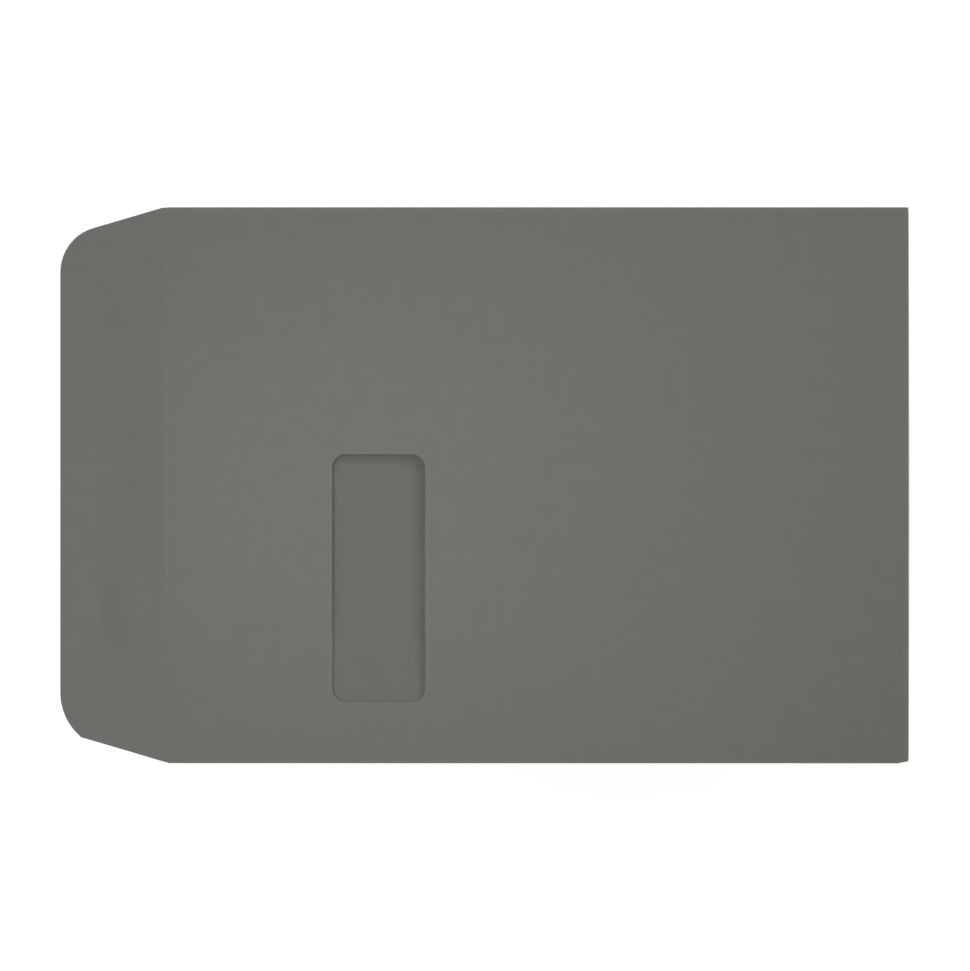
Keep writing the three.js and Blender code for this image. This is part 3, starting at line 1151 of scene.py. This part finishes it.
        # each fold turns the paper by half a turn: how far round a point is, and where that puts it
        folded, shares = [], []
        side = add_node(tree, "ShaderNodeMath", {0: flat[1]}, operation="SIGN").outputs[0]
        aside = add_node(tree, "ShaderNodeMath", {0: flat[1]}, operation="ABSOLUTE").outputs[0]
        for way, place in ((flat[0], given["Fold place X"]), (aside, given["Fold place Y"])):
            past = add_node(tree, "ShaderNodeMath", {0: way, 1: place}, operation="SUBTRACT").outputs[0]
            angle = add_node(
                tree, "ShaderNodeMapRange", {"Value": past, 1: 0.0, 2: strip, 3: 0.0, 4: math.pi}
            ).outputs[0]
            sine = add_node(tree, "ShaderNodeMath", {0: angle}, operation="SINE").outputs[0]
            cosine = add_node(tree, "ShaderNodeMath", {0: angle}, operation="COSINE").outputs[0]
            share = add_node(
                tree, "ShaderNodeMapRange", {"Value": cosine, 1: -1.0, 2: 1.0, 3: 0.0, 4: 1.0}
            ).outputs[0]
            bulge = add_node(tree, "ShaderNodeMath", {0: sine, 1: bend}, operation="MULTIPLY").outputs[0]
            stay = add_node(tree, "ShaderNodeMath", {0: way, 1: place}, operation="MINIMUM").outputs[0]
            out = add_node(tree, "ShaderNodeMath", {0: stay, 1: bulge}, operation="ADD").outputs[0]
            rest = add_node(tree, "ShaderNodeMath", {0: past, 1: strip}, operation="SUBTRACT").outputs[0]
            rest = add_node(tree, "ShaderNodeMath", {0: rest, 1: 0.0}, operation="MAXIMUM").outputs[0]
            turned = add_node(tree, "ShaderNodeMath", {0: out, 1: rest}, operation="SUBTRACT").outputs[0]
            folded.append(turned)
            shares.append(share)
        x, aside = folded
        at_end, at_side = shares
        y = add_node(tree, "ShaderNodeMath", {0: aside, 1: side}, operation="MULTIPLY").outputs[0]

        # front panel and seal flap, never below the table
        passed_on = {label: given[label] for label in s.height_sizes}
        rule = add_node(
            tree, "GeometryNodeGroup", {"X": x, "Y": y, **passed_on}, node_tree=self.height
        ).outputs
        relief = add_node(
            tree, "GeometryNodeInputNamedAttribute", {"Name": Trait.RELIEF.value}, data_type="FLOAT"
        ).outputs[0]
        front = add_node(tree, "ShaderNodeMath", {0: rule["Under"], 1: relief}, operation="ADD").outputs[0]
        front = add_node(tree, "ShaderNodeMath", {0: front, 1: 0.0}, operation="MAXIMUM").outputs[0]

        # back panels: the one from +Y lies on the other within their seam
        upper = add_node(tree, "ShaderNodeMath", {0: flat[1], 1: 0.0}, operation="GREATER_THAN").outputs[0]
        seam = add_node(
            tree,
            "ShaderNodeMapRange",
            {"Value": y, 1: s.seam_y, 2: s.seam_y + s.layer_ramp, 3: given["Layer"], 4: 0.0},
            interpolation_type="SMOOTHSTEP",
        ).outputs[0]
        seam = add_node(tree, "ShaderNodeMath", {0: seam, 1: upper}, operation="MULTIPLY").outputs[0]
        back = add_node(tree, "ShaderNodeMath", {0: rule["Lift"], 1: seam}, operation="ADD").outputs[0]

        z = add_node(tree, "ShaderNodeMix", {0: at_side, 2: back, 3: front}, data_type="FLOAT").outputs[0]
        z = add_node(tree, "ShaderNodeMix", {0: at_end, 2: 0.0, 3: z}, data_type="FLOAT").outputs[0]
        half = add_node(tree, "ShaderNodeMath", {0: given["Paper"], 1: 0.5}, operation="MULTIPLY").outputs[0]
        z = add_node(tree, "ShaderNodeMath", {0: z, 1: half}, operation="ADD").outputs[0]
        place = add_node(tree, "ShaderNodeCombineXYZ", {0: x, 1: y, 2: z}).outputs[0]
        bent = add_node(
            tree, "GeometryNodeSetPosition", {"Geometry": given["Geometry"], "Position": place}
        ).outputs[0]
        end_as_sheet(tree, bent, given["Paper"], material)
        return tree

    def keep_gum_below(self, mesh: bpy.types.Mesh) -> None:
        """Clear the gum from every point that isn't on the sheet's underside.

        Args:
            mesh: The finished sheet.
        """
        count = len(mesh.vertices)
        gum, under = np.empty(count, np.float32), np.empty(count, np.float32)
        mesh.attributes[Trait.GUM.value].data.foreach_get("value", gum)
        mesh.attributes[Trait.UNDERSIDE.value].data.foreach_get("value", under)
        mesh.attributes[Trait.GUM.value].data.foreach_set("value", gum * under)

    def build(self, finish: PaperFinish) -> bpy.types.Object:
        """Make the finished sheet.

        Args:
            finish: The paper's finish.

        Returns:
            The piece that stands for the CAD node.
        """
        tree = self.fold_tree(finish.build(self.span / MM))
        piece = made_by_tree(self.blank(), tree, self.named_sizes, "envelope_paper")
        self.keep_gum_below(piece.data)
        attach(piece, BODY)
        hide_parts("folded_sheet")
        LOG.info("%s: %d faces", piece.name, len(piece.data.polygons))
        return piece


@dataclass
class WindowFilm:
    """The clear film patch glued to the inside of the front panel."""

    sizes: EnvelopeSizes
    relief: Relief
    height: bpy.types.NodeTree
    step: float = 1.8 * MM
    slack: float = 0.16 * MM  # how far the free film sinks and rises within the window
    slack_run: float = 9 * MM  # from the window's edge to where it is fully free
    slack_waves: tuple = ((210, 118, 0.0), (-70, 96, 1.3))  # the two waves that are summed in it

    @property
    def named_sizes(self) -> dict[str, float]:
        """Return the sizes that the laying tree takes by name."""
        return {"Film": self.sizes.film, "Glue line": self.sizes.glue_line}

    def patch(self) -> bpy.types.Mesh:
        """Make the flat patch, with its relief.

        Returns:
            A grid of four-sided faces.
        """
        (x0, y0), (x1, y1) = self.sizes.film_box
        xs = np.linspace(x0, x1, math.ceil((x1 - x0) / self.step) + 1)
        ys = np.linspace(y0, y1, math.ceil((y1 - y0) / self.step) + 1)
        grid = np.stack(np.meshgrid(xs, ys, indexing="ij"), axis=-1).reshape(-1, 2)
        rows = len(ys)
        faces = [
            (i * rows + j, (i + 1) * rows + j, (i + 1) * rows + j + 1, i * rows + j + 1)
            for i in range(len(xs) - 1)
            for j in range(rows - 1)
        ]
        mesh = bpy.data.meshes.new("film_patch")
        mesh.from_pydata([(x, y, 0.0) for x, y in grid], [], faces)
        store(mesh, Trait.RELIEF, self.sag(grid[:, 0], grid[:, 1]))
        return mesh

    def sag(self, x: np.ndarray, y: np.ndarray) -> np.ndarray:
        """Add the free film's own shallow waves, which lie below the paper, to the paper's relief.

        Args:
            x: Places along the envelope.
            y: Places across it.

        Returns:
            Height to add at each place.
        """
        (x0, y0), (x1, y1) = self.sizes.window_box
        inner = np.minimum.reduce([x - x0, x1 - x, y - y0, y1 - y])
        free = smooth(ramp(inner, 0, self.slack_run))
        waves = sum(wave(x, y, turns) for turns in self.slack_waves) / 2
        return self.relief.height(x, y) + self.slack * free * (waves * 0.5 - 0.5)

    def lay_tree(self, material: bpy.types.Material) -> bpy.types.NodeTree:
        """Make the tree that lays the patch under the front panel.

        Args:
            material: The film's material.

        Returns:
            The tree, with its sizes as named inputs.
        """
        tree = new_tree("laid_film", self.named_sizes)
        given = add_node(tree, "NodeGroupInput").outputs
        position = add_node(tree, "GeometryNodeInputPosition").outputs[0]
        flat = add_node(tree, "ShaderNodeSeparateXYZ", {0: position}).outputs
        rule = add_node(
            tree, "GeometryNodeGroup", {"X": flat[0], "Y": flat[1]}, node_tree=self.height
        ).outputs
        relief = add_node(
            tree, "GeometryNodeInputNamedAttribute", {"Name": Trait.RELIEF.value}, data_type="FLOAT"
        ).outputs[0]
        down = add_node(
            tree, "ShaderNodeMath", {0: given["Film"], 1: -0.5, 2: relief}, operation="MULTIPLY_ADD"
        ).outputs[0]
        z = add_node(tree, "ShaderNodeMath", {0: rule["Under"], 1: down}, operation="ADD").outputs[0]
        z = add_node(tree, "ShaderNodeMath", {0: z, 1: given["Glue line"]}, operation="SUBTRACT").outputs[0]
        place = add_node(tree, "ShaderNodeCombineXYZ", {0: flat[0], 1: flat[1], 2: z}).outputs[0]
        laid = add_node(
            tree, "GeometryNodeSetPosition", {"Geometry": given["Geometry"], "Position": place}
        ).outputs[0]
        end_as_sheet(tree, laid, given["Film"], material)
        return tree

    def build(self, finish: FilmFinish) -> bpy.types.Object:
        """Make the finished film.

        Args:
            finish: The film's finish.

        Returns:
            The piece that stands for the CAD node.
        """
        tree = self.lay_tree(finish.build())
        piece = made_by_tree(self.patch(), tree, self.named_sizes, "window_film_patch")
        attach(piece, BODY)
        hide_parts("window_film")
        LOG.info("%s: %d faces", piece.name, len(piece.data.polygons))
        return piece


@dataclass(frozen=True)
class FloorFinish:
    """A plain white table, which the camera sees as pure white except where the envelope shades it.

    The lamps reach it less and less away from the envelope, so its lift grows outwards.
    """

    name: str = "white_table"
    colour: str = "#e6e6e6"
    lift: Band = (0.28, 1.0)
    reach: Band = (0.10, 0.60)  # from the origin, where the lift grows

    def build(self) -> bpy.types.Material:
        """Make the material.

        Returns:
            The material, ready to be given to a mesh.
        """
        material = bpy.data.materials.new(self.name)
        tree = emptied(material)
        place = add_node(tree, "ShaderNodeTexCoord").outputs["Object"]
        away = add_node(tree, "ShaderNodeVectorMath", {0: place}, operation="LENGTH").outputs["Value"]
        lift = add_node(
            tree,
            "ShaderNodeMapRange",
            {"Value": away, 1: self.reach[0], 2: self.reach[1], 3: self.lift[0], 4: self.lift[1]},
        ).outputs[0]
        strength = add_node(
            tree, "ShaderNodeMath", {0: seen_straight(tree), 1: lift}, operation="MULTIPLY"
        ).outputs[0]
        matt = add_node(tree, "ShaderNodeBsdfDiffuse", {"Color": linear(self.colour)}).outputs[0]
        glow = add_node(tree, "ShaderNodeEmission", {"Color": WHITE, "Strength": strength}).outputs[0]
        total = add_node(tree, "ShaderNodeAddShader", {0: matt, 1: glow}).outputs[0]
        add_node(tree, "ShaderNodeOutputMaterial", {"Surface": total})
        return material


@dataclass(frozen=True)
class Lamp:
    """A square soft light that points at the envelope."""

    name: str
    at: tuple[float, float, float]
    side: float
    power: float
    aim: tuple[float, float, float] = (0.0, 0.0, 0.0)
    mirrored: bool = True  # whether the film and the paper's gleam show it

    def build(self) -> None:
        """Add the light to the scene."""
        data = bpy.data.lights.new(self.name, "AREA")
        data.shape, data.size, data.energy = "SQUARE", self.side, self.power
        light = bpy.data.objects.new(self.name, data)
        light.location = self.at
        light.visible_camera, light.visible_glossy = False, self.mirrored
        away = np.array(self.at) - np.array(self.aim)
        tilt = math.atan2(math.hypot(away[0], away[1]), away[2])
        light.rotation_euler = (tilt, 0.0, math.atan2(away[1], away[0]) + math.pi / 2)
        bpy.context.scene.collection.objects.link(light)


@dataclass(frozen=True)
class Studio:
    """Camera, lights, table and surroundings."""

    picture_width: float = 0.39896  # of the table, as the camera frames it
    centre: Point = (0.00025, -0.0001)
    lens: float = 100.0
    sensor: float = 36.0
    clip: Band = (0.01, 20.0)
    ambient: float = 0.10
    table_reach: float = 2.0  # half of its side
    table_drop: float = 0.01 * MM  # so that no face of the envelope lies in its plane
    lamps: tuple[Lamp, ...] = (
        Lamp("key", (0.673, 0.521, 0.983), 0.68, 6.55),
        Lamp("overhead", (-0.090, -0.031, 0.473), 0.20, 1.40, (-0.090, -0.031, 0.0), mirrored=False),
    )

    def add_camera(self) -> None:
        """Add the camera, straight above the envelope."""
        data = bpy.data.cameras.new("camera")
        data.lens, data.sensor_width, data.sensor_fit = self.lens, self.sensor, "HORIZONTAL"
        data.clip_start, data.clip_end = self.clip
        camera = bpy.data.objects.new("camera", data)
        camera.location = (*self.centre, self.picture_width * self.lens / self.sensor)
        bpy.context.scene.collection.objects.link(camera)
        bpy.context.scene.camera = camera

    def add_world(self) -> None:
        """Add surroundings that are white to the camera and in reflections, and dimmer as light."""
        world = bpy.data.worlds.new("surroundings")
        tree = emptied(world)
        strength = add_node(
            tree, "ShaderNodeMapRange", {"Value": seen_straight(tree), 3: self.ambient, 4: 1.0}
        ).outputs[0]
        glow = add_node(tree, "ShaderNodeBackground", {"Color": WHITE, "Strength": strength}).outputs[0]
        add_node(tree, "ShaderNodeOutputWorld", {"Surface": glow})
        bpy.context.scene.world = world

    def add_table(self, finish: FloorFinish) -> None:
        """Add the table that the envelope lies on.

        Args:
            finish: The table's finish.
        """
        r = self.table_reach
        mesh = bpy.data.meshes.new("table")
        mesh.from_pydata([(-r, -r, 0), (r, -r, 0), (r, r, 0), (-r, r, 0)], [], [(0, 1, 2, 3)])
        mesh.materials.append(finish.build())
        table = bpy.data.objects.new("table", mesh)
        table.location.z = -self.table_drop
        bpy.context.scene.collection.objects.link(table)

    def build(self) -> None:
        """Add the world, the table and the lights."""
        self.add_world()
        self.add_table(FloorFinish())
        for lamp in self.lamps:
            lamp.build()
        bpy.context.scene.view_settings.view_transform = "Standard"


def main() -> None:
    """Build the envelope and its studio."""
    logging.basicConfig(level=logging.INFO, format="%(name)s: %(message)s")
    studio = Studio()
    studio.add_camera()
    sizes = EnvelopeSizes()
    relief = Relief(sizes)
    height = HeightRule(sizes).build()
    FoldedSheet(sizes, relief, height).build(PaperFinish())
    WindowFilm(sizes, relief, height).build(FilmFinish())
    studio.build()


if __name__ == "__main__":
    main()
